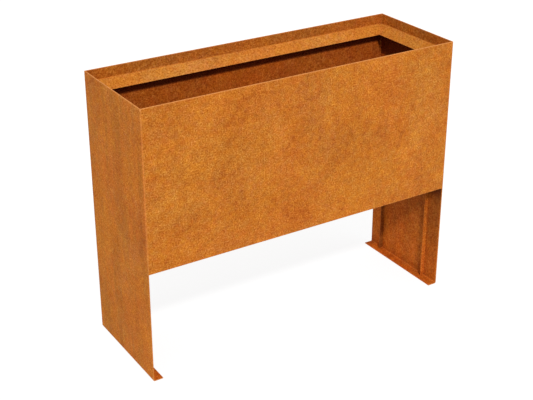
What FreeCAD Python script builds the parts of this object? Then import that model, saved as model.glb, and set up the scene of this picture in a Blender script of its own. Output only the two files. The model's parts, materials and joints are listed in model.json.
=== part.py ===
"""Weathering-steel planter box on two full-depth panel legs.

Frame: millimetres, +Z up, +X along the length, the front faces -Y, and the origin is on the
ground under the middle of the box. Flat sheet pieces are welded together; nothing moves.
"""
import FreeCAD, Part
import Sketcher
import os

os.makedirs("parts", exist_ok=True)
doc = FreeCAD.newDocument("planter_box")

# ---------------------------------------------------------------- driving dimensions
DRIVING = [
    ("length", 1200, "overall, outside of the end panels"),
    ("depth", 400, "overall, outside of the front and rear panels"),
    ("height", 960, "ground to rim"),
    ("clearance", 400, "ground to the lower edge of the front and rear panels"),
    ("sheet", 3, "thickness of every sheet piece"),
    ("rim_height", 36, "bare wall above the rim lip"),
    ("lip_width", 42, "width of a rim lip strip, measured along its slope"),
    ("foot_width", 36, "folded foot, from the outside of the leg"),
    ("bend_radius", 3, "inside radius of the foot fold"),
    ("floor_recess", 20, "floor underside above the lower edge of the panels"),
    ("drain_diameter", 20, "drain hole in the floor"),
    ("drain_columns", 4, "drain holes along the length"),
    ("drain_rows", 2, "drain holes across the depth"),
    ("drain_column_pitch", 300, "between drain holes along the length"),
    ("drain_row_pitch", 200, "between the two rows of drain holes"),
    ("stiffener_width", 4, "flat bar under the floor, set on edge"),
    ("stiffener_pitch", 300, "between floor stiffeners"),
    ("rib_depth", 15, "flat bar on the inside of a leg, standing off the panel"),
    ("rib_width", 3, "thickness of a leg rib"),
    ("rib_setback", 70, "edge of the leg to the outer face of a rib"),
    ("rib_snipe", 8, "corner cut off a rib to clear the foot fold"),
    ("seam_leg", 4, "leg of the fillet welds inside the trough"),
    ("rim_seam_leg", 3, "leg of the fillet welds above the rim lip"),
    ("stitch_leg", 3, "leg of a stitch weld"),
    ("stitch_length", 40, "length of a stitch weld"),
    ("run_stop", 8, "where a weld run stops short of a corner"),
]
sizes = doc.addObject("Spreadsheet::Sheet", "sizes")
for row, (alias, value, meaning) in enumerate(DRIVING, start=1):
    sizes.set(f"A{row}", alias)
    sizes.set(f"B{row}", str(value))
    sizes.set(f"C{row}", meaning)
    sizes.setAlias(f"B{row}", alias)
doc.recompute()

# ---------------------------------------------------------------- places worked out from them
INSIDE_LENGTH = "(sizes.length - 2 * sizes.sheet)"
INSIDE_DEPTH = "(sizes.depth - 2 * sizes.sheet)"
OUTER_X = "(sizes.length / 2)"
OUTER_Y = "(sizes.depth / 2)"
INNER_X = f"({OUTER_X} - sizes.sheet)"
INNER_Y = f"({OUTER_Y} - sizes.sheet)"
FLOOR_UNDERSIDE = "(sizes.clearance + sizes.floor_recess)"
FLOOR_TOP = f"({FLOOR_UNDERSIDE} + sizes.sheet)"
LIP_LINE = "(sizes.height - sizes.rim_height)"
HALF_TURN = FreeCAD.Rotation(FreeCAD.Vector(0, 0, 1), 180)

subparts = []


def register(subpart, name):
    """Name a finished sub-part; its Label becomes its file's name."""
    subpart.Label = name
    subparts.append(subpart)
    return subpart


def put(item, x="0", y="0", z="0", rotation=FreeCAD.Rotation()):
    """Place an object, with each coordinate bound to the sheet."""
    item.Placement = FreeCAD.Placement(FreeCAD.Vector(), rotation)
    item.setExpression(".Placement.Base.x", x)
    item.setExpression(".Placement.Base.y", y)
    item.setExpression(".Placement.Base.z", z)


# ---------------------------------------------------------------- sketching and padding
def new_body(name):
    """An empty body for one sheet or bar piece."""
    return register(doc.addObject("PartDesign::Body", name), name)


def origin_item(body, role):
    """One of the body's own origin planes or axes."""
    return next(item for item in body.Origin.OriginFeatures if item.Role == role)


def new_sketch(body, plane, name):
    """An empty sketch on one of the body's origin planes."""
    sketch = body.newObject("Sketcher::SketchObject", f"{body.Name}_{name}")
    sketch.AttachmentSupport = [(origin_item(body, plane), "")]
    sketch.MapMode = "FlatFace"
    return sketch


def bind(sketch, constraint, expression):
    """Add a dimension to a sketch and bind it to the sheet."""
    index = sketch.addConstraint(constraint)
    sketch.setExpression(f"Constraints[{index}]", expression)


def pin_point(sketch, geometry, point, across, along):
    """Bind both coordinates of a point, measured from the sketch's origin."""
    for kind, axis, expression in (("DistanceX", -2, across), ("DistanceY", -1, along)):
        value = float(sizes.evalExpression(expression))
        if value > 0:
            bind(sketch, Sketcher.Constraint(kind, -1, 1, geometry, point, value), expression)
        elif value < 0:
            mirrored = Sketcher.Constraint(kind, geometry, point, -1, 1, -value)
            bind(sketch, mirrored, f"-({expression})")
        else:
            sketch.addConstraint(Sketcher.Constraint("PointOnObject", geometry, point, axis))


def outline(sketch, corners):
    """Draw a closed straight-sided outline whose corners are bound to the sheet."""
    points = [FreeCAD.Vector(*[float(sizes.evalExpression(e)) for e in pair], 0) for pair in corners]
    lines = []
    for start, end in zip(points, points[1:] + points[:1]):
        lines.append(sketch.addGeometry(Part.LineSegment(start, end)))
    for line, following in zip(lines, lines[1:] + lines[:1]):
        sketch.addConstraint(Sketcher.Constraint("Coincident", line, 2, following, 1))
    for line, (across, along) in zip(lines, corners):
        pin_point(sketch, line, 1, across, along)


def rectangle(left, right, bottom, top):
    """The corners of an upright rectangle."""
    return [(left, bottom), (right, bottom), (right, top), (left, top)]


def pad(body, plane, corners, thickness, midplane=False):
    """Pad an outline; XY pads up, YZ pads towards +X and XZ pads towards -Y."""
    sketch = new_sketch(body, plane, "outline")
    outline(sketch, corners)
    feature = body.newObject("PartDesign::Pad", f"{body.Name}_pad")
    feature.Profile = sketch
    feature.setExpression("Length", thickness)
    feature.Midplane = midplane
    doc.recompute()
    return feature


def cut_through(body, sketch, name):
    """Pocket a sketch up through the whole body, and check that it removed metal."""
    before = body.Shape.Volume
    pocket = body.newObject("PartDesign::Pocket", f"{body.Name}_{name}")
    pocket.Profile = sketch
    pocket.Type = "ThroughAll"
    pocket.Reversed = True
    doc.recompute()
    if not body.Shape.Volume < before:
        raise RuntimeError(f"{body.Label}: {name} cut nothing")
    return pocket


# ---------------------------------------------------------------- front and rear panels
# Plain rectangles of sheet standing between the two end panels, flush with their edges.
for name, outer_face in (("front_panel", f"sizes.sheet - {OUTER_Y}"), ("rear_panel", OUTER_Y)):
    body = new_body(name)
    corners = rectangle(f"-{INNER_X}", INNER_X, "sizes.clearance", "sizes.height")
    pad(body, "XZ_Plane", corners, "sizes.sheet")
    put(body, y=outer_face)


# ---------------------------------------------------------------- end panels, also the legs
# One sheet from ground to rim, folded inward at the bottom into a foot as long as the depth.
def edge_along_y(shape, x, z):
    """The name of the straight edge that runs along Y through a point of the XZ plane."""
    for number, edge in enumerate(shape.Edges, start=1):
        middle = edge.CenterOfMass
        runs_along_y = abs(edge.BoundBox.YLength - edge.Length) < 1e-6
        if runs_along_y and abs(middle.x - x) < 1e-6 and abs(middle.z - z) < 1e-6:
            return f"Edge{number}"
    raise RuntimeError("no edge there")


def round_fold(body, base, name, corner, radius):
    """Round one side of the fold."""
    x, z = [float(sizes.evalExpression(expression)) for expression in corner]
    fillet = body.newObject("PartDesign::Fillet", f"{body.Name}_{name}")
    fillet.Base = (base, [edge_along_y(base.Shape, x, z)])
    fillet.setExpression("Radius", radius)
    doc.recompute()
    return fillet


for name, rotation in (("left_end_panel", HALF_TURN), ("right_end_panel", FreeCAD.Rotation())):
    body = new_body(name)
    foot_tip = f"({OUTER_X} - sizes.foot_width)"
    corners = [
        (foot_tip, "0"),
        (OUTER_X, "0"),
        (OUTER_X, "sizes.height"),
        (INNER_X, "sizes.height"),
        (INNER_X, "sizes.sheet"),
        (foot_tip, "sizes.sheet"),
    ]
    folded = pad(body, "XZ_Plane", corners, "sizes.depth", midplane=True)
    folded = round_fold(body, folded, "fold_inside", (INNER_X, "sizes.sheet"), "sizes.bend_radius")
    outside_radius = "sizes.bend_radius + sizes.sheet"
    round_fold(body, folded, "fold_outside", (OUTER_X, "0"), outside_radius)
    put(body, rotation=rotation)


# ---------------------------------------------------------------- rim lips
# Four narrow strips below the rim, sloping inward and down at 45 degrees. The lower corner of
# a strip's outer edge touches the wall, and its ends are mitred to meet the next strip.
STRIP_OFFSET = "(sizes.sheet / sqrt(2))"
STRIP_REACH = "(sizes.lip_width / sqrt(2))"
RIM_SIDES = (
    ("front", INSIDE_LENGTH, INNER_Y, 0),
    ("rear", INSIDE_LENGTH, INNER_Y, 180),
    ("left", INSIDE_DEPTH, INNER_X, -90),
    ("right", INSIDE_DEPTH, INNER_X, 90),
)


def rim_lip(name, run, wall, angle):
    """One strip, drawn along the front wall and then turned to its own side."""
    body = new_body(name)
    top_out = (f"{STRIP_OFFSET} - {wall}", f"{LIP_LINE} - {STRIP_OFFSET}")
    top_in = (f"{top_out[0]} + {STRIP_REACH}", f"{top_out[1]} - {STRIP_REACH}")
    under_in = (f"{top_in[0]} - {STRIP_OFFSET}", f"{top_in[1]} - {STRIP_OFFSET}")
    under_out = (f"-{wall}", f"{LIP_LINE} - 2 * {STRIP_OFFSET}")
    pad(body, "YZ_Plane", [top_out, under_out, under_in, top_in], run, midplane=True)
    mitre = new_sketch(body, "XY_Plane", "mitre")
    reach = f"({STRIP_OFFSET} + {STRIP_REACH} + sizes.sheet)"
    for side in (-1, 1):
        end = f"{side} * {run} / 2"
        inward = f"{side} * ({run} / 2 - {reach})"
        outline(mitre, [(end, f"-{wall}"), (end, f"{reach} - {wall}"), (inward, f"{reach} - {wall}")])
    cut_through(body, mitre, "mitres")
    put(body, rotation=FreeCAD.Rotation(FreeCAD.Vector(0, 0, 1), angle))


for side, run, wall, angle in RIM_SIDES:
    rim_lip(f"{side}_rim_lip", run, wall, angle)


# ---------------------------------------------------------------- floor
# A sheet let in a little above the lower edge of the walls, with two rows of drain holes.
floor = new_body("floor_panel")
pad(floor, "XY_Plane", rectangle(f"-{INNER_X}", INNER_X, f"-{INNER_Y}", INNER_Y), "sizes.sheet")
put(floor, z=FLOOR_UNDERSIDE)
drain_sketch = new_sketch(floor, "XY_Plane", "drain")
drain_radius = float(sizes.evalExpression("sizes.drain_diameter / 2"))
drain = drain_sketch.addGeometry(Part.Circle(FreeCAD.Vector(), FreeCAD.Vector(0, 0, 1), drain_radius))
bind(drain_sketch, Sketcher.Constraint("Radius", drain, drain_radius), "sizes.drain_diameter / 2")
first_column = "-sizes.drain_column_pitch * (sizes.drain_columns - 1) / 2"
pin_point(drain_sketch, drain, 3, first_column, "-sizes.drain_row_pitch / 2")
drain_hole = cut_through(floor, drain_sketch, "drain_hole")
drains = floor.newObject("PartDesign::LinearPattern", "floor_panel_drains")
drains.Originals = [drain_hole]
drains.Direction = (origin_item(floor, "X_Axis"), [""])
drains.setExpression("Length", "sizes.drain_column_pitch * (sizes.drain_columns - 1)")
drains.setExpression("Occurrences", "sizes.drain_columns")
drains.Direction2 = (origin_item(floor, "Y_Axis"), [""])
drains.setExpression("Length2", "sizes.drain_row_pitch * (sizes.drain_rows - 1)")
drains.setExpression("Occurrences2", "sizes.drain_rows")
floor.Tip = drains
doc.recompute()


# ---------------------------------------------------------------- floor stiffeners
# Flat bars on edge across the depth, in the recess under the floor.
for name, place in (("left", -1), ("centre", 0), ("right", 1)):
    body = new_body(f"floor_stiffener_{name}")
    corners = rectangle(f"-{INNER_Y}", INNER_Y, "sizes.clearance", FLOOR_UNDERSIDE)
    pad(body, "YZ_Plane", corners, "sizes.stiffener_width", midplane=True)
    put(body, x=f"{place} * sizes.stiffener_pitch")


# ---------------------------------------------------------------- leg ribs
# Flat bars standing off the inside of each leg, from the foot up to the floor. The corner
# over the fold is cut away so that the bar sits down on the foot.
RIB_OUTER_Y = f"({OUTER_Y} - sizes.rib_setback)"
RIB_CORNERS = [
    (f"{INNER_X} - sizes.rib_depth", "sizes.sheet"),
    (f"{INNER_X} - sizes.rib_snipe", "sizes.sheet"),
    (INNER_X, "sizes.sheet + sizes.rib_snipe"),
    (INNER_X, FLOOR_UNDERSIDE),
    (f"{INNER_X} - sizes.rib_depth", FLOOR_UNDERSIDE),
]
for leg, turn, rotation in (("left", -1, HALF_TURN), ("right", 1, FreeCAD.Rotation())):
    for side, starts_at in ((-1, f"(sizes.rib_width - {RIB_OUTER_Y})"), (1, RIB_OUTER_Y)):
        end = {-1: "front", 1: "rear"}[side * turn]
        body = new_body(f"{leg}_leg_{end}_rib")
        pad(body, "XZ_Plane", RIB_CORNERS, "sizes.rib_width")
        put(body, y=f"{turn} * {starts_at}", rotation=rotation)


# ---------------------------------------------------------------- weld runs
# Each bead is a three-sided bar in the angle between two pieces. Beads of one kind are one
# sub-part made of separate solids.
def towards(x=0, y=0, z=0):
    """A direction in the frame."""
    return FreeCAD.Vector(x, y, z)


def bead(corner, first_leg, second_leg, leg, run):
    """A bead that runs square to its two legs, by the right-hand rule from the first."""
    wedge = doc.addObject("Part::Wedge", "bead")
    for flat in ("Xmin", "Ymin", "Zmin", "X2min", "Z2min", "X2max"):
        setattr(wedge, flat, 0)
    wedge.setExpression("Xmax", leg)
    wedge.setExpression("Ymax", leg)
    wedge.setExpression("Zmax", run)
    wedge.setExpression("Z2max", run)
    along = first_leg.cross(second_leg)
    put(wedge, *corner, rotation=FreeCAD.Rotation(first_leg, second_leg, along, "XYZ"))
    return wedge


def rising_bead(corner, first_leg, second_leg, leg, run):
    """A bead that runs upwards from its corner."""
    if first_leg.cross(second_leg).z < 0:
        first_leg, second_leg = second_leg, first_leg
    return bead(corner, first_leg, second_leg, leg, run)


def weld_group(name, beads):
    """One sub-part that holds all the beads of a kind."""
    group = doc.addObject("Part::Compound", name)
    group.Links = beads
    register(group, name)


# Box corners: upright runs in the four inside corners, from the floor seam to the rim lips,
# and short ones from the rim lips to the rim.
def corner_beads(leg, bottom, top):
    """The four upright runs between two heights."""
    beads = []
    for x_side in (-1, 1):
        for y_side in (-1, 1):
            corner = (f"{x_side} * {INNER_X}", f"{y_side} * {INNER_Y}", bottom)
            legs = (towards(x=-x_side), towards(y=-y_side))
            beads.append(rising_bead(corner, *legs, leg, f"{top} - {bottom}"))
    return beads


SEAM_BOTTOM = f"({FLOOR_TOP} + sizes.seam_leg)"
SEAM_TOP = f"({LIP_LINE} - 2 * {STRIP_OFFSET} - sizes.seam_leg)"
weld_group("corner_seam_welds", corner_beads("sizes.seam_leg", SEAM_BOTTOM, SEAM_TOP))
weld_group("rim_corner_welds", corner_beads("sizes.rim_seam_leg", LIP_LINE, "sizes.height"))

# Floor seam: four runs on the upper side of the floor, the long ones ending at the short ones.
floor_beads = []
for side in (-1, 1):
    long_start = (f"{side} * ({INNER_X} - sizes.seam_leg)", f"{side} * {INNER_Y}", FLOOR_TOP)
    long_run = f"{INSIDE_LENGTH} - 2 * sizes.seam_leg"
    long_legs = (towards(y=-side), towards(z=1))
    floor_beads.append(bead(long_start, *long_legs, "sizes.seam_leg", long_run))
    short_start = (f"{side} * {INNER_X}", f"-{side} * {INNER_Y}", FLOOR_TOP)
    short_legs = (towards(x=-side), towards(z=1))
    floor_beads.append(bead(short_start, *short_legs, "sizes.seam_leg", INSIDE_DEPTH))
weld_group("floor_seam_welds", floor_beads)

# Rim lips: each bead fills the notch between a strip's square edge and the wall, flush with
# the strip's sloping top.
lip_beads = []
for side, run, wall, angle in RIM_SIDES:
    turn = FreeCAD.Rotation(FreeCAD.Vector(0, 0, 1), angle)
    inward = turn.multVec(towards(y=1))
    along = turn.multVec(towards(x=1))
    to_wall_top = (towards(z=1) - inward).normalize()
    to_wall_below = (towards(z=-1) - inward).normalize()
    notch = f"({wall} - {STRIP_OFFSET})"
    half_run = f"({run} / 2 - sizes.run_stop)"
    corner = (
        f"{round(-inward.x)} * {notch} + {round(-along.x)} * {half_run}",
        f"{round(-inward.y)} * {notch} + {round(-along.y)} * {half_run}",
        f"{LIP_LINE} - {STRIP_OFFSET}",
    )
    lip_beads.append(bead(corner, to_wall_top, to_wall_below, "sizes.sheet", f"2 * {half_run}"))
weld_group("rim_lip_welds", lip_beads)

# Floor stiffeners: stitches in the angle between a bar and the floor, on alternate sides.
stiffener_beads = []
for bar in (-1, 0, 1):
    for eighth, side in ((-3, 1), (-1, -1), (1, 1), (3, -1)):
        corner = (
            f"{bar} * sizes.stiffener_pitch + {side} * sizes.stiffener_width / 2",
            f"{eighth} * {INSIDE_DEPTH} / 8 - {side} * sizes.stitch_length / 2",
            FLOOR_UNDERSIDE,
        )
        legs = (towards(x=side), towards(z=-1))
        stiffener_beads.append(bead(corner, *legs, "sizes.stitch_leg", "sizes.stitch_length"))
weld_group("floor_stiffener_welds", stiffener_beads)

# Leg ribs: upright stitches in the angle between a rib and its leg, on alternate sides.
for leg, x_side in (("left", -1), ("right", 1)):
    rib_beads = []
    for y_side in (-1, 1):
        for fifth in (1, 2, 3, 4):
            on_outer_face = fifth % 2 == 1
            face = RIB_OUTER_Y if on_outer_face else f"({RIB_OUTER_Y} - sizes.rib_width)"
            corner = (
                f"{x_side} * {INNER_X}",
                f"{y_side} * {face}",
                f"{fifth} * {FLOOR_UNDERSIDE} / 5 - sizes.stitch_length / 2",
            )
            away = y_side if on_outer_face else -y_side
            legs = (towards(x=-x_side), towards(y=away))
            rib_beads.append(rising_bead(corner, *legs, "sizes.stitch_leg", "sizes.stitch_length"))
    weld_group(f"{leg}_leg_rib_welds", rib_beads)


# ---------------------------------------------------------------- check and write
doc.recompute()
for item in doc.Objects:
    if "Invalid" in item.State or "Error" in item.State:
        raise RuntimeError(f"{item.Label} is {item.State}")
for subpart in subparts:
    if subpart.Shape.isNull() or not subpart.Shape.isValid():
        raise RuntimeError(f"{subpart.Label} has no valid shape")
for subpart in subparts:
    subpart.Shape.exportStep(f"parts/{subpart.Label}.step")
    box = subpart.Shape.BoundBox
    print(f"{subpart.Label}: {len(subpart.Shape.Solids)} solid(s), {subpart.Shape.Volume:.0f} mm3, "
          f"{box.XMin:.1f}..{box.XMax:.1f}, {box.YMin:.1f}..{box.YMax:.1f}, {box.ZMin:.1f}..{box.ZMax:.1f}")
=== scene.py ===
import json
import math
import random

import bmesh
import bpy
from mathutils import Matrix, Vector


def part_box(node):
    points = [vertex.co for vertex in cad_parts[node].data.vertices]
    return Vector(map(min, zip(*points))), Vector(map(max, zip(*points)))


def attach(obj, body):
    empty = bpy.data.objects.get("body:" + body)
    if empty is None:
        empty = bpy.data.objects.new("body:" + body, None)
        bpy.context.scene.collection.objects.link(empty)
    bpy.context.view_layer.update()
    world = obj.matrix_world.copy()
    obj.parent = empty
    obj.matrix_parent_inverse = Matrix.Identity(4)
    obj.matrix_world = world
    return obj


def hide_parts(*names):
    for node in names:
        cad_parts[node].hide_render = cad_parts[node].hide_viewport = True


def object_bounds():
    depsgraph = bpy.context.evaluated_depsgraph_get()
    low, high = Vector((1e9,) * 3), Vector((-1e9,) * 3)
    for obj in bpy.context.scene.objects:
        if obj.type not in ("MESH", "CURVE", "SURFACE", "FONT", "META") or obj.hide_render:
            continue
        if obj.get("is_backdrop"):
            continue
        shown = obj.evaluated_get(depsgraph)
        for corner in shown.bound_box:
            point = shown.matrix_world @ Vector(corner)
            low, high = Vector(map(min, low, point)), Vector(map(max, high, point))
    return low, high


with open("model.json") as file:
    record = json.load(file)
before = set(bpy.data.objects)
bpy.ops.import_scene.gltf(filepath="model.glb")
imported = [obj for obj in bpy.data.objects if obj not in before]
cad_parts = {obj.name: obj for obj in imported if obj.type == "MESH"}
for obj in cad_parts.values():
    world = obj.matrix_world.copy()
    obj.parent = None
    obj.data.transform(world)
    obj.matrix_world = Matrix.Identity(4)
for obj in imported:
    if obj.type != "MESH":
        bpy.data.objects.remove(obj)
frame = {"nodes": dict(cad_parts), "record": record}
cad_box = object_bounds()


# ------------------------------------------------------------------ end panels, also the legs
# One sheet of weathering steel each, laser cut, and folded inward at the bottom on a press brake
# into a foot as long as the trough is deep. Left raw outdoors, it has grown a dense matt rust.
SHARP_CORNER = math.radians(30)
NEARLY_FLAT = math.radians(1)
SAME_SPOT = 1e-6


def cad_shape(node):
    """The shape of a CAD node, with whole faces in place of its triangles."""
    body = bmesh.new()
    body.from_mesh(frame["nodes"][node].data)
    bmesh.ops.remove_doubles(body, verts=body.verts, dist=SAME_SPOT)
    bmesh.ops.dissolve_limit(body, angle_limit=NEARLY_FLAT, verts=body.verts, edges=body.edges)
    return body


def mean_width(face):
    """How wide a long face is on average, which stays small where it is L-shaped."""
    return 2 * face.calc_area() / face.calc_perimeter()


def eased(node, piece_name, easing, bloom_width, left_sharp):
    """A piece in a CAD node's shape, with its edges eased and marked for the paler rust and painted
    highlight there.
    """
    body = cad_shape(node)
    bloom = body.verts.layers.float.new("edge_bloom")
    at_edge = set(body.verts)
    for vert in at_edge:
        vert[bloom] = 1.0
    wide = [face for face in body.faces if mean_width(face) > 3 * bloom_width]
    bmesh.ops.inset_individual(body, faces=wide, thickness=bloom_width, use_even_offset=True)
    for vert in set(body.verts) - at_edge:
        vert[bloom] = 0.0
    corners = [edge for edge in body.edges if edge.calc_face_angle_signed(0) > SHARP_CORNER]
    free = [edge for edge in corners if not left_sharp(edge)]
    bmesh.ops.bevel(body, geom=free, offset=easing, segments=2, profile=0.7, affect="EDGES")
    for vert in body.verts:
        vert[bloom] = 1.0 if vert[bloom] > 0.0 else 0.0
    return finished(piece_name, body, node)


def finished(piece_name, body, node):
    """Turn finished mesh work into a piece that stands for a CAD node."""
    mesh = bpy.data.meshes.new(piece_name)
    body.to_mesh(mesh)
    body.free()
    for face in mesh.polygons:
        face.use_smooth = True
    mesh.set_sharp_from_angle(angle=SHARP_CORNER)
    piece = bpy.data.objects.new(piece_name, mesh)
    bpy.context.scene.collection.objects.link(piece)
    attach(piece, "root")
    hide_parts(node)
    return piece


def place(tree, kind, feeds=(), **settings):
    """Add a shader node whose sockets are fed by plain values or by other nodes' outputs."""
    made = tree.nodes.new(kind)
    for name, value in settings.items():
        setattr(made, name, value)
    for socket, value in dict(feeds).items():
        if isinstance(value, bpy.types.NodeSocket):
            tree.links.new(value, made.inputs[socket])
        else:
            made.inputs[socket].default_value = value
    return made


def reckon(tree, operation, *values):
    """The result of a sum, product or other operation on numbers."""
    return place(tree, "ShaderNodeMath", dict(enumerate(values)), operation=operation).outputs[0]


def product(tree, first, *others):
    """Several numbers multiplied."""
    total = first
    for value in others:
        total = reckon(tree, "MULTIPLY", total, value)
    return total


def weighed(tree, *terms):
    """Add up (value, weight) pairs."""
    total = 0.0
    for value, weight in terms:
        total = reckon(tree, "MULTIPLY_ADD", value, weight, total)
    return total


def opposite(tree, mask):
    """A mask turned round."""
    return reckon(tree, "SUBTRACT", 1.0, mask)


def ramp(tree, value, low, high, to_low=0.0, to_high=1.0):
    """Spread a value from one range to another, easing in and out."""
    feeds = {"Value": value, 1: low, 2: high, 3: to_low, 4: to_high}
    return place(tree, "ShaderNodeMapRange", feeds, interpolation_type="SMOOTHSTEP").outputs[0]


def mixed(tree, amount, first, second, blend="MIX"):
    """Blend two colours."""
    feeds = {0: amount, 6: first, 7: second}
    return place(tree, "ShaderNodeMix", feeds, data_type="RGBA", blend_type=blend).outputs[2]


def object_spot(tree):
    """The place on the object."""
    return place(tree, "ShaderNodeTexCoord").outputs["Object"]


def shifted(tree, spot, offset):
    """A place moved by an offset, to reach another part of a pattern."""
    return place(tree, "ShaderNodeVectorMath", {0: spot, 1: offset}).outputs[0]


def noise(tree, spot, per_metre, detail, roughness, distortion=0.0):
    """A noise with that many grains to the metre, counted from its middle."""
    feeds = {"Vector": spot, "Scale": per_metre, "Detail": detail, "Roughness": roughness}
    feeds["Distortion"] = distortion
    return reckon(tree, "SUBTRACT", place(tree, "ShaderNodeTexNoise", feeds).outputs[0], 0.5)


COLOUR, VECTOR, NUMBER = "NodeSocketColor", "NodeSocketVector", "NodeSocketFloat"


def new_group(name, inputs, outputs):
    """An empty node group with named sockets, and what comes in through them."""
    group = bpy.data.node_groups.new(name, "ShaderNodeTree")
    for socket_name, kind in inputs:
        group.interface.new_socket(socket_name, in_out="INPUT", socket_type=kind)
    for socket_name, kind in outputs:
        group.interface.new_socket(socket_name, in_out="OUTPUT", socket_type=kind)
    return group, place(group, "NodeGroupInput").outputs


def rust_group():
    """Grown rust: fine grain, blotches, wide clouds, and slow drifts of hue."""
    inputs = [("Offset", VECTOR), ("Deep", COLOUR), ("Body", COLOUR), ("Light", COLOUR)]
    inputs += [("Dull", COLOUR), ("Bright", COLOUR), ("Clouds", NUMBER)]
    inputs += [("Ochre", COLOUR), ("Rosy", COLOUR)]
    outputs = [("Colour", COLOUR), ("Roughness", NUMBER), ("Height", NUMBER)]
    group, given = new_group("grown_rust", inputs, outputs)
    spot = shifted(group, object_spot(group), given["Offset"])

    dust = noise(group, spot, per_metre=520, detail=2, roughness=0.6)
    speckle = noise(group, spot, per_metre=210, detail=2, roughness=0.55, distortion=0.2)
    grain = weighed(group, (speckle, 2.7), (dust, 1.2))
    rust = mixed(group, ramp(group, grain, -0.9, 0.15), given["Deep"], given["Body"])
    rust = mixed(group, ramp(group, grain, -0.15, 0.9), rust, given["Light"])

    blotches = noise(group, spot, per_metre=55, detail=4, roughness=0.65, distortion=0.5)
    clouds = noise(group, spot, per_metre=6.5, detail=5, roughness=0.66, distortion=0.3)
    tone = product(group, weighed(group, (blotches, 2.8), (clouds, 2.1)), given["Clouds"])
    rust = mixed(group, ramp(group, tone, -1.0, 0.1, 1.0, 0.0), rust, given["Dull"], "MULTIPLY")
    rust = mixed(group, ramp(group, tone, -0.1, 1.0), rust, given["Bright"], "MULTIPLY")

    for hue, elsewhere in (("Ochre", (11.3, 4.7, 8.9)), ("Rosy", (3.1, 13.9, 2.2))):
        hue_spot = shifted(group, spot, elsewhere)
        hue_blotches = noise(group, hue_spot, per_metre=45, detail=3, roughness=0.6, distortion=0.4)
        hue_clouds = noise(group, hue_spot, per_metre=3.5, detail=5, roughness=0.7, distortion=0.4)
        drift = weighed(group, (hue_blotches, 1.6), (hue_clouds, 2.0))
        rust = mixed(group, ramp(group, drift, -0.35, 0.5), rust, given[hue], "MULTIPLY")

    polish = weighed(group, (speckle, 1.0), (clouds, 0.6))
    dullest, smoothest = 0.94, 0.76
    roughness = ramp(group, polish, -0.4, 0.4, dullest, smoothest)
    lumps = weighed(group, (speckle, 1.0), (dust, 0.5), (blotches, 0.7))
    pits = place(group, "ShaderNodeTexVoronoi", {"Vector": spot, "Scale": 230}).outputs["Distance"]
    height = reckon(group, "ADD", lumps, ramp(group, pits, 0.0, 0.45, -0.3, 0.0))
    place(group, "NodeGroupOutput", {"Colour": rust, "Roughness": roughness, "Height": height})
    return group


def cut_edge_group():
    """The paler, thinner rust beside a cut edge, with a painted highlight that is strongest along the top
    of the rim.
    """
    inputs = [("Offset", VECTOR), ("Colour", COLOUR), ("Bloom", COLOUR), ("Amount", NUMBER)]
    group, given = new_group("cut_edge", inputs, [("Colour", COLOUR)])
    spot = object_spot(group)
    height = place(group, "ShaderNodeSeparateXYZ", {0: spot}).outputs[2]
    rim = cad_box[1][2]
    # Painted highlight along the top of the rim.
    rim_highlight = ramp(group, height, rim - 0.008, rim - 0.001, 0.3, 1.0)
    near_edge = place(group, "ShaderNodeAttribute", attribute_name="edge_bloom").outputs["Fac"]
    narrowed = reckon(group, "POWER", near_edge, 3.0)
    flakes = noise(group, shifted(group, spot, given["Offset"]), per_metre=120, detail=3, roughness=0.6)
    broken = ramp(group, flakes, -0.2, 0.15, 0.45, 1.0)
    amount = product(group, narrowed, rim_highlight, broken, given["Amount"])
    colour = mixed(group, amount, given["Colour"], given["Bloom"])
    place(group, "NodeGroupOutput", {"Colour": colour})
    return group


def rain_group():
    """Faint upright streaks that rain draws down a wall."""
    inputs = [("Offset", VECTOR), ("Colour", COLOUR), ("Washed", COLOUR), ("Amount", NUMBER)]
    group, given = new_group("rain_streaks", inputs, [("Colour", COLOUR)])
    spot = shifted(group, object_spot(group), given["Offset"])
    streaks_per_metre = (17, 17, 1.8)
    drawn = place(group, "ShaderNodeVectorMath", {0: spot, 1: streaks_per_metre}, operation="MULTIPLY")
    streak = ramp(group, noise(group, drawn.outputs[0], 1, detail=5, roughness=0.6), -0.12, 0.2)
    amount = product(group, streak, given["Amount"])
    colour = mixed(group, amount, given["Colour"], given["Washed"], "MULTIPLY")
    place(group, "NodeGroupOutput", {"Colour": colour})
    return group


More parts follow.
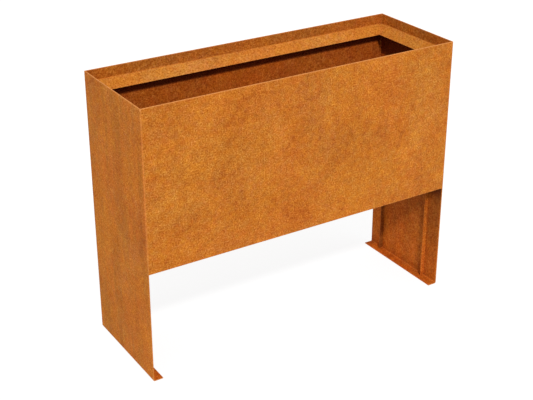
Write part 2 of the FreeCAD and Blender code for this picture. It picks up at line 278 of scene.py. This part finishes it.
def shelter_group():
    """Darker, redder rust on the sides turned inward, partly patina and partly painted shade, with a
    painted shadow, nearly black, close under the lips, painted shade under the floor, and painted light
    and shade up the legs.
    """
    inputs = [("Colour", COLOUR), ("Sheltered", COLOUR), ("Painted Shadow", COLOUR), ("Fresh", COLOUR)]
    inputs += [("Amount", NUMBER), ("At Rim", NUMBER), ("Shadow Reach", NUMBER)]
    group, given = new_group("inward_rust_and_painted_shade", inputs, [("Colour", COLOUR)])
    x, y, height = place(group, "ShaderNodeSeparateXYZ", {0: object_spot(group)}).outputs
    half_length, half_depth = cad_box[1][0], cad_box[1][1]
    from_end = reckon(group, "SUBTRACT", half_length, reckon(group, "ABSOLUTE", x))
    from_front = reckon(group, "SUBTRACT", half_depth, reckon(group, "ABSOLUTE", y))
    behind_outer_face = ramp(group, reckon(group, "MINIMUM", from_end, from_front), 0.0008, 0.0026)
    inside = product(group, behind_outer_face, given["Amount"])

    on_foot = product(group, inside, ramp(group, height, 0.003, 0.010, 1.0, 0.0))
    colour = mixed(group, on_foot, given["Colour"], given["Fresh"], "MULTIPLY")
    inside = reckon(group, "SUBTRACT", inside, on_foot)

    lip_bottom, lip_top = (corner[2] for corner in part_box("front_rim_lip"))
    below_lip = opposite(group, ramp(group, height, lip_bottom, lip_top))
    floor_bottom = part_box("floor_panel")[0][2]
    in_trough = ramp(group, height, floor_bottom, floor_bottom + 0.002)
    # Painted light and shade on the legs: the inward tone is lighter near the ground and darker up under
    # the trough. In the trough it is scaled by 1.12.
    painted_light_on_leg = ramp(group, height, 0.04, 0.28, 1.28, 0.92)
    lightness_in_trough = 1.12
    lighter_by = reckon(group, "SUBTRACT", lightness_in_trough, painted_light_on_leg)
    lightness = reckon(group, "MULTIPLY_ADD", in_trough, lighter_by, painted_light_on_leg)
    scaled = {0: given["Sheltered"], "Scale": lightness}
    shade = place(group, "ShaderNodeVectorMath", scaled, operation="SCALE").outputs[0]
    sheltered = product(group, inside, reckon(group, "MAXIMUM", below_lip, given["At Rim"]))
    colour = mixed(group, sheltered, colour, shade, "MULTIPLY")

    # A painted shadow, nearly black, on the inner walls close under the lips, as deep as the lips' own
    # shadow would fall.
    depth_below_lip = reckon(group, "SUBTRACT", lip_bottom, height)
    shadow_ends_at = reckon(group, "ADD", given["Shadow Reach"], 0.005)
    shadow_band = {"Value": depth_below_lip, 1: given["Shadow Reach"], 2: shadow_ends_at, 3: 1.0, 4: 0.0}
    painted_shadow_under_lip = product(group, place(group, "ShaderNodeMapRange", shadow_band).outputs[0], below_lip)
    # Painted shade on the inner faces of the legs just under the floor, darker towards it.
    wall_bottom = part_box("front_panel")[0][2]
    near_floor = reckon(group, "POWER", ramp(group, height, wall_bottom - 0.12, wall_bottom), 2.2)
    painted_shade_under_floor = product(group, near_floor, opposite(group, in_trough))
    # Both the painted shadow and the painted shade take the darkest tone.
    damp = product(group, reckon(group, "MAXIMUM", painted_shadow_under_lip, painted_shade_under_floor), inside)
    colour = mixed(group, damp, colour, given["Painted Shadow"], "MULTIPLY")
    place(group, "NodeGroupOutput", {"Colour": colour})
    return group


GROWN_RUST, CUT_EDGE = rust_group(), cut_edge_group()
RAIN_STREAKS, INWARD_RUST_AND_PAINTED_SHADE = rain_group(), shelter_group()
DEEP_RUST = (0.235, 0.046, 0.002, 1)
ORANGE_RUST = (0.395, 0.117, 0.008, 1)
PALE_RUST = (0.60, 0.22, 0.036, 1)
DULL_RUST = (0.73, 0.59, 0.58, 1)
BRIGHT_RUST = (1.26, 1.46, 1.5, 1)
OCHRE_DRIFT = (0.92, 1.06, 1.7, 1)
ROSY_DRIFT = (1.03, 0.92, 1.2, 1)
# Paler cut-edge rust, which also serves as a painted highlight on the rim.
EDGE_RUST_AND_HIGHLIGHT = (0.58, 0.24, 0.075, 1)
RAIN_WASH = (0.80, 0.87, 0.95, 1)
# The inward sides' tone: partly a darker, redder sheltered patina and partly painted shade.
INWARD_RUST_AND_SHADE = (0.79, 0.575, 0.41, 1)
FRESH_RUST = (1.06, 0.74, 0.45, 1)
# The tone of the painted shadow under the lips and of the painted shade under the floor.
PAINTED_SHADOW_TONE = (0.36, 0.28, 0.36, 1)
RUST_RELIEF = 0.0008


def rusted_steel(name, offset, body=ORANGE_RUST, edges=0.9, rain=0.25, shelter=1.0,
                 sheltered=INWARD_RUST_AND_SHADE, shadow_reach=0.032, clouds=1.0):
    """Weathering steel under rust, with its own colours and its own part of the pattern."""
    material = bpy.data.materials.new(name)
    material.use_nodes = True
    tree = material.node_tree
    shader = tree.nodes["Principled BSDF"]
    shader.inputs["Metallic"].default_value = 0.0
    shader.inputs["Specular IOR Level"].default_value = 0.06
    grown = {"Offset": offset, "Deep": DEEP_RUST, "Body": body, "Light": PALE_RUST, "Dull": DULL_RUST,
             "Bright": BRIGHT_RUST, "Clouds": clouds, "Ochre": OCHRE_DRIFT, "Rosy": ROSY_DRIFT}
    rust = place(tree, "ShaderNodeGroup", grown, node_tree=GROWN_RUST)
    washed = {"Offset": offset, "Washed": RAIN_WASH, "Amount": rain}
    bloomed = {"Offset": offset, "Bloom": EDGE_RUST_AND_HIGHLIGHT, "Amount": edges}
    shaded = {"Sheltered": sheltered, "Painted Shadow": PAINTED_SHADOW_TONE, "Fresh": FRESH_RUST, "Amount": shelter,
              "At Rim": 0.4, "Shadow Reach": shadow_reach}
    colour = rust.outputs["Colour"]
    for group, feeds in ((RAIN_STREAKS, washed), (CUT_EDGE, bloomed), (INWARD_RUST_AND_PAINTED_SHADE, shaded)):
        feeds["Colour"] = colour
        colour = place(tree, "ShaderNodeGroup", feeds, node_tree=group).outputs["Colour"]
    tree.links.new(colour, shader.inputs["Base Color"])
    tree.links.new(rust.outputs["Roughness"], shader.inputs["Roughness"])
    relief = {"Height": rust.outputs["Height"], "Strength": 0.6, "Distance": RUST_RELIEF}
    tree.links.new(place(tree, "ShaderNodeBump", relief).outputs["Normal"], shader.inputs["Normal"])
    return material


SHEET_EASING = 0.0005
SHEET_BLOOM = 0.006
INSIDE_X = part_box("front_panel")[1][0]


def is_upright(edge):
    """Whether an edge runs straight up."""
    return abs((edge.verts[0].co - edge.verts[1].co).normalized().z) > 0.99


def beside_wall(edge):
    """An upright edge of an end panel, where the front or rear panel is welded flush."""
    return is_upright(edge) and all(abs(abs(vert.co.x) - INSIDE_X) < 1e-5 for vert in edge.verts)


END_RUST = (0.425, 0.121, 0.0075, 1)
for node, offset in (("left_end_panel", (2.2, 6.3, 1.1)), ("right_end_panel", (7.7, 3.1, 0.6))):
    piece = eased(node, f"{node}_sheet", SHEET_EASING, SHEET_BLOOM, beside_wall)
    # The painted shadow under the end lips reaches further down the end walls.
    patina = rusted_steel(f"{node}_patina", offset, END_RUST, rain=1.0, shadow_reach=0.08, clouds=0.9)
    piece.data.materials.append(patina)


# ------------------------------------------------------------------ front and rear panels
# Two plain laser-cut sheets of the same steel. They stand between the end panels, flush with
# their edges, and the corners are welded inside and ground smooth outside.
for node, offset in (("front_panel", (0.3, 1.7, 0.2)), ("rear_panel", (5.1, 0.4, 2.6))):
    piece = eased(node, f"{node}_sheet", SHEET_EASING, SHEET_BLOOM, is_upright)
    piece.data.materials.append(rusted_steel(f"{node}_patina", offset))


# ------------------------------------------------------------------ floor
# The sheet that carries the soil, let in above the lower edge of the walls and pierced by two
# rows of drain holes. Water lingers round the holes and leaves a darker ring.
FLOOR_LOW, FLOOR_HIGH = (Vector(corner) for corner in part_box("floor_panel"))
OPENINGS = frame["record"]["physics"]["openings"]
DRAINS = [opening["box_m"] for opening in OPENINGS if opening["name"].startswith("drain_hole")]
DRAIN_RADIUS = 0.010
DAMP_RINGS = ((DRAIN_RADIUS, 1.0), (0.013, 1.0), (0.020, 0.6), (0.034, 0.0))
ROUND_A_DRAIN = 40
DAMP_RUST = (0.5, 0.42, 0.4, 1)


def floor_sheet():
    """The upper face of the floor, open at the drains, with rings that hold the damp."""
    body = bmesh.new()
    damp = body.verts.layers.float.new("damp")
    corners = [(FLOOR_LOW.x, FLOOR_LOW.y), (FLOOR_HIGH.x, FLOOR_LOW.y),
               (FLOOR_HIGH.x, FLOOR_HIGH.y), (FLOOR_LOW.x, FLOOR_HIGH.y)]
    verts = [body.verts.new((x, y, FLOOR_HIGH.z)) for x, y in corners]
    borders = [body.edges.new(pair) for pair in zip(verts, verts[1:] + verts[:1])]
    for low, high in DRAINS:
        middle = (Vector(low) + Vector(high)) / 2
        rings = []
        for radius, wetness in DAMP_RINGS:
            ring = []
            for step in range(ROUND_A_DRAIN):
                turn = 2 * math.pi * step / ROUND_A_DRAIN
                across = Vector((math.cos(turn), math.sin(turn))) * radius
                vert = body.verts.new((middle.x + across.x, middle.y + across.y, FLOOR_HIGH.z))
                vert[damp] = wetness
                ring.append(vert)
            rings.append(ring)
        for inner, outer in zip(rings, rings[1:]):
            for step in range(ROUND_A_DRAIN):
                after = (step + 1) % ROUND_A_DRAIN
                body.faces.new((inner[step], outer[step], outer[after], inner[after]))
        outermost = rings[-1]
        for pair in zip(outermost, outermost[1:] + outermost[:1]):
            borders.append(body.edges.get(pair))
    bmesh.ops.triangle_fill(body, edges=borders, use_beauty=True, use_dissolve=False)
    bmesh.ops.recalc_face_normals(body, faces=body.faces)
    body.faces.ensure_lookup_table()
    if body.faces[0].normal.z < 0:
        bmesh.ops.reverse_faces(body, faces=body.faces)
    return body


def thicken(piece, thickness, easing):
    """Give a sheet its thickness downwards, and ease its edges."""
    solid = piece.modifiers.new("thickness", "SOLIDIFY")
    solid.thickness = thickness
    solid.offset = -1
    edges = piece.modifiers.new("eased_edges", "BEVEL")
    edges.width = easing
    edges.segments = 2
    edges.limit_method = "ANGLE"


def soak(material, damp_colour):
    """Darken a material where the damp lingers."""
    tree = material.node_tree
    dry = tree.nodes["Principled BSDF"].inputs["Base Color"].links[0].from_socket
    damp = place(tree, "ShaderNodeAttribute", attribute_name="damp").outputs["Fac"]
    wet = mixed(tree, damp, dry, damp_colour, "MULTIPLY")
    tree.links.new(wet, tree.nodes["Principled BSDF"].inputs["Base Color"])
    return material


floor_piece = finished("floor_panel_sheet", floor_sheet(), "floor_panel")
thicken(floor_piece, FLOOR_HIGH.z - FLOOR_LOW.z, SHEET_EASING)
floor_patina = rusted_steel("floor_panel_patina", (4.6, 1.2, 3.9), edges=0.0, rain=0.0)
floor_piece.data.materials.append(soak(floor_patina, DAMP_RUST))


# ------------------------------------------------------------------ floor stiffeners
# Three flat bars set on edge across the depth under the floor, and stitch welded to it. Bar
# stock rusts a little darker than the sheet.
BAR_EASING = 0.0004
BAR_BLOOM = 0.002
BAR_RUST = (0.40, 0.122, 0.010, 1)


def none_sharp(edge):
    """A bar is eased all round, since none of its edges is welded flush with another piece."""
    return False


for which, offset in (("left", (8.3, 7.4, 5.2)), ("centre", (2.9, 4.1, 9.6)), ("right", (0.8, 6.7, 1.5))):
    node = f"floor_stiffener_{which}"
    piece = eased(node, f"{node}_bar", BAR_EASING, BAR_BLOOM, none_sharp)
    piece.data.materials.append(rusted_steel(f"{node}_patina", offset, BAR_RUST, rain=0.0))


# ------------------------------------------------------------------ rim lips
# Four narrow strips of sheet a little below the rim, sloping inward and down, mitred where they
# meet. They stiffen the rim and keep the soil in.
LIP_RUST = (0.45, 0.151, 0.014, 1)
LIP_PATTERNS = (
    ("front", (0.9, 2.3, 4.4)),
    ("rear", (3.3, 8.1, 0.9)),
    ("left", (6.2, 5.5, 2.8)),
    ("right", (1.4, 4.9, 7.2)),
)


def all_sharp(edge):
    """A lip keeps its edges as sharp as the laser cut them."""
    return True


for side, offset in LIP_PATTERNS:
    node = f"{side}_rim_lip"
    piece = eased(node, f"{node}_strip", SHEET_EASING, SHEET_BLOOM, all_sharp)
    patina = rusted_steel(f"{node}_patina", offset, LIP_RUST, rain=0.0, shelter=0.0, clouds=0.6)
    piece.data.materials.append(patina)


# ------------------------------------------------------------------ leg ribs
# Two flat bars stand off the inside of each leg, from the foot up to the floor, and keep the
# sheet from bowing. Stitch welds hold them. The rear ones are darker with painted shade, the front ones
# lighter with painted light.
# The front ribs' inward tone is painted light, the rear ribs' painted shade.
FRONT_RIB_PAINTED_LIGHT = (0.95, 0.74, 0.55, 1)
REAR_RIB_PAINTED_SHADE = (0.40, 0.30, 0.26, 1)
for node, offset, sheltered in (
    ("left_leg_front_rib", (1.9, 9.2, 3.3), FRONT_RIB_PAINTED_LIGHT),
    ("left_leg_rear_rib", (5.7, 2.8, 6.1), REAR_RIB_PAINTED_SHADE),
    ("right_leg_front_rib", (6.6, 0.7, 8.4), FRONT_RIB_PAINTED_LIGHT),
    ("right_leg_rear_rib", (9.4, 3.6, 1.2), REAR_RIB_PAINTED_SHADE),
):
    piece = eased(node, f"{node}_bar", BAR_EASING, BAR_BLOOM, none_sharp)
    patina = rusted_steel(f"{node}_patina", offset, BAR_RUST, edges=0.3, sheltered=sheltered)
    piece.data.materials.append(patina)


# ------------------------------------------------------------------ weld runs
# Every run is a bead of filler laid by hand in the angle between two pieces, so it has a ripple
# for each pulse of the torch and its ends fade out. It rusts a little darker than the sheet.
random.seed(11)
RIPPLE_PITCH = 0.004
RINGS_PER_RIPPLE = 4
ACROSS_BEAD = 5
WEAKEST_RIPPLE, STRONGEST_RIPPLE = 0.6, 1.3
BEAD_CROWN = 0.0005
LIP_BEAD_CROWN = 0.0002
WELD_RUST = (0.34, 0.106, 0.010, 1)


def solids_of(body):
    """The separate solids of a mesh, each as a list of its faces."""
    waiting = set(body.faces)
    for first in body.faces:
        if first not in waiting:
            continue
        waiting.remove(first)
        solid = [first]
        for face in solid:
            for edge in face.edges:
                for neighbour in edge.link_faces:
                    if neighbour in waiting:
                        waiting.remove(neighbour)
                        solid.append(neighbour)
        yield solid


def square_corner(ends):
    """The corner of a three-sided end that has the right angle."""
    def squareness(corner):
        first, second = (other - corner for other in ends if other is not corner)
        return abs(first.normalized().dot(second.normalized()))
    return min(ends, key=squareness)


def lowest_corner(ends):
    """The corner of a three-sided end that lies lowest."""
    return min(ends, key=lambda corner: corner.z)


def lay_bead(body, section, run, crown):
    """Add a rippled bead along a run, over a three-sided section that starts at its root."""
    root, toe, far_toe = section
    length = run.length
    along = run.normalized()
    outward = (far_toe - toe).cross(along).normalized()
    if outward.dot(toe - root) < 0:
        outward.negate()
    width = (far_toe - toe).length
    ripples = max(round(length / RIPPLE_PITCH), 2)
    rings = ripples * RINGS_PER_RIPPLE
    strength = [random.uniform(WEAKEST_RIPPLE, STRONGEST_RIPPLE) for _ in range(ripples + 1)]
    loops = []
    for ring in range(rings + 1):
        ripple, phase = divmod(ring, RINGS_PER_RIPPLE)
        travelled = length * ring / rings
        to_end = min(travelled, length - travelled)
        fade = math.sqrt(min(1.0, 0.12 + to_end / width))
        ripple_height = 0.5 * strength[ripple] * math.cos(2 * math.pi * phase / RINGS_PER_RIPPLE)
        loop = [root + along * travelled]
        for step in range(ACROSS_BEAD):
            share = step / (ACROSS_BEAD - 1)
            arch = 4 * share * (1 - share)
            level = toe.lerp(far_toe, share) - root + outward * crown * (1 + ripple_height) * arch
            lag = min(0.35 * RIPPLE_PITCH * arch, to_end)
            loop.append(root + level * fade + along * (travelled - lag))
        loops.append([body.verts.new(spot) for spot in loop])
    for before, after in zip(loops, loops[1:]):
        for here, there in zip(range(-1, ACROSS_BEAD), range(ACROSS_BEAD + 1)):
            body.faces.new((before[here], after[here], after[there], before[there]))
    body.faces.new(loops[0])
    body.faces.new(reversed(loops[-1]))


def weld_run(node, root_corner, crown, body_colour):
    """Lay a bead over every solid of a weld node."""
    shape = cad_shape(node)
    ends_of_solids = []
    for solid in solids_of(shape):
        ends = [[vert.co.copy() for vert in face.verts] for face in solid if len(face.verts) == 3]
        ends_of_solids.append(sorted(ends, key=lambda end: sum(end, Vector()).dot((1, 1, 1))))
    shape.free()
    beads = bmesh.new()
    for start, finish in sorted(ends_of_solids, key=lambda ends: tuple(ends[0][0])):
        root = root_corner(start)
        toes = [corner for corner in start if corner is not root]
        lay_bead(beads, (root, *toes), root_corner(finish) - root, crown)
    bmesh.ops.recalc_face_normals(beads, faces=beads.faces)
    piece = finished(f"{node}_beads", beads, node)
    offset = tuple(random.uniform(0, 10) for _ in range(3))
    piece.data.materials.append(rusted_steel(f"{node}_patina", offset, body_colour, rain=0.0))


for node in ("corner_seam_welds", "floor_seam_welds", "rim_corner_welds", "floor_stiffener_welds",
             "left_leg_rib_welds", "right_leg_rib_welds"):
    weld_run(node, square_corner, BEAD_CROWN, WELD_RUST)
weld_run("rim_lip_welds", lowest_corner, LIP_BEAD_CROWN, LIP_RUST)


# ------------------------------------------------------------------ studio
# A white floor that glows, so that only faint shadows fall on it, an even white surround, and
# one soft key light from the front left.
FLOOR_HALF_SIZE = 30
GAP_UNDER_FEET = 0.0005
floor_shape = bmesh.new()
bmesh.ops.create_grid(floor_shape, x_segments=1, y_segments=1, size=FLOOR_HALF_SIZE)
bmesh.ops.translate(floor_shape, verts=floor_shape.verts, vec=(0, 0, -GAP_UNDER_FEET))
floor_mesh = bpy.data.meshes.new("studio_floor")
floor_shape.to_mesh(floor_mesh)
floor_shape.free()
studio_floor = bpy.data.objects.new("studio_floor", floor_mesh)
bpy.context.scene.collection.objects.link(studio_floor)
paper = bpy.data.materials.new("studio_paper")
paper.use_nodes = True
paper_shader = paper.node_tree.nodes["Principled BSDF"]
paper_shader.inputs["Base Color"].default_value = (0.18, 0.18, 0.18, 1)
paper_shader.inputs["Emission Color"].default_value = (1, 1, 1, 1)
paper_shader.inputs["Emission Strength"].default_value = 0.83
paper_shader.inputs["Roughness"].default_value = 0.9
paper_shader.inputs["Specular IOR Level"].default_value = 0.1
floor_mesh.materials.append(paper)
studio_floor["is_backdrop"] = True

scene = bpy.context.scene
scene.view_settings.view_transform = "Standard"
scene.world = bpy.data.worlds.new("surround")
scene.world.use_nodes = True
surround = scene.world.node_tree
backdrop = place(surround, "ShaderNodeLightPath").outputs["Is Camera Ray"]
strength = place(surround, "ShaderNodeMapRange", {"Value": backdrop, "To Min": 0.85, "To Max": 1.0})
surround.nodes["Background"].inputs["Color"].default_value = (1, 1, 1, 1)
surround.links.new(strength.outputs[0], surround.nodes["Background"].inputs["Strength"])

KEY_COMES_FROM = Vector((-0.42, -1.0, 1.03))
key_light = bpy.data.lights.new("key", "SUN")
key_light.energy = 2.4
key_light.angle = math.radians(5)
key = bpy.data.objects.new("key", key_light)
key.rotation_mode = "QUATERNION"
key.rotation_quaternion = KEY_COMES_FROM.to_track_quat("Z", "Y")
scene.collection.objects.link(key)

camera_data = bpy.data.cameras.new("camera")
camera_data.lens = 75.34
camera_data.shift_y = -0.05
camera = bpy.data.objects.new("camera", camera_data)
camera.location = (-1.908, -2.975, 2.155)
camera.rotation_euler = (math.radians(90 - 24.71), 0, math.radians(-32.19))
scene.collection.objects.link(camera)
scene.camera = camera

# ------------------------------------------------------------------ sizes and hand-over
boxes = {"cad": cad_box, "visual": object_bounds()}
{name: [list(corner) for corner in box] for name, box in boxes.items()}
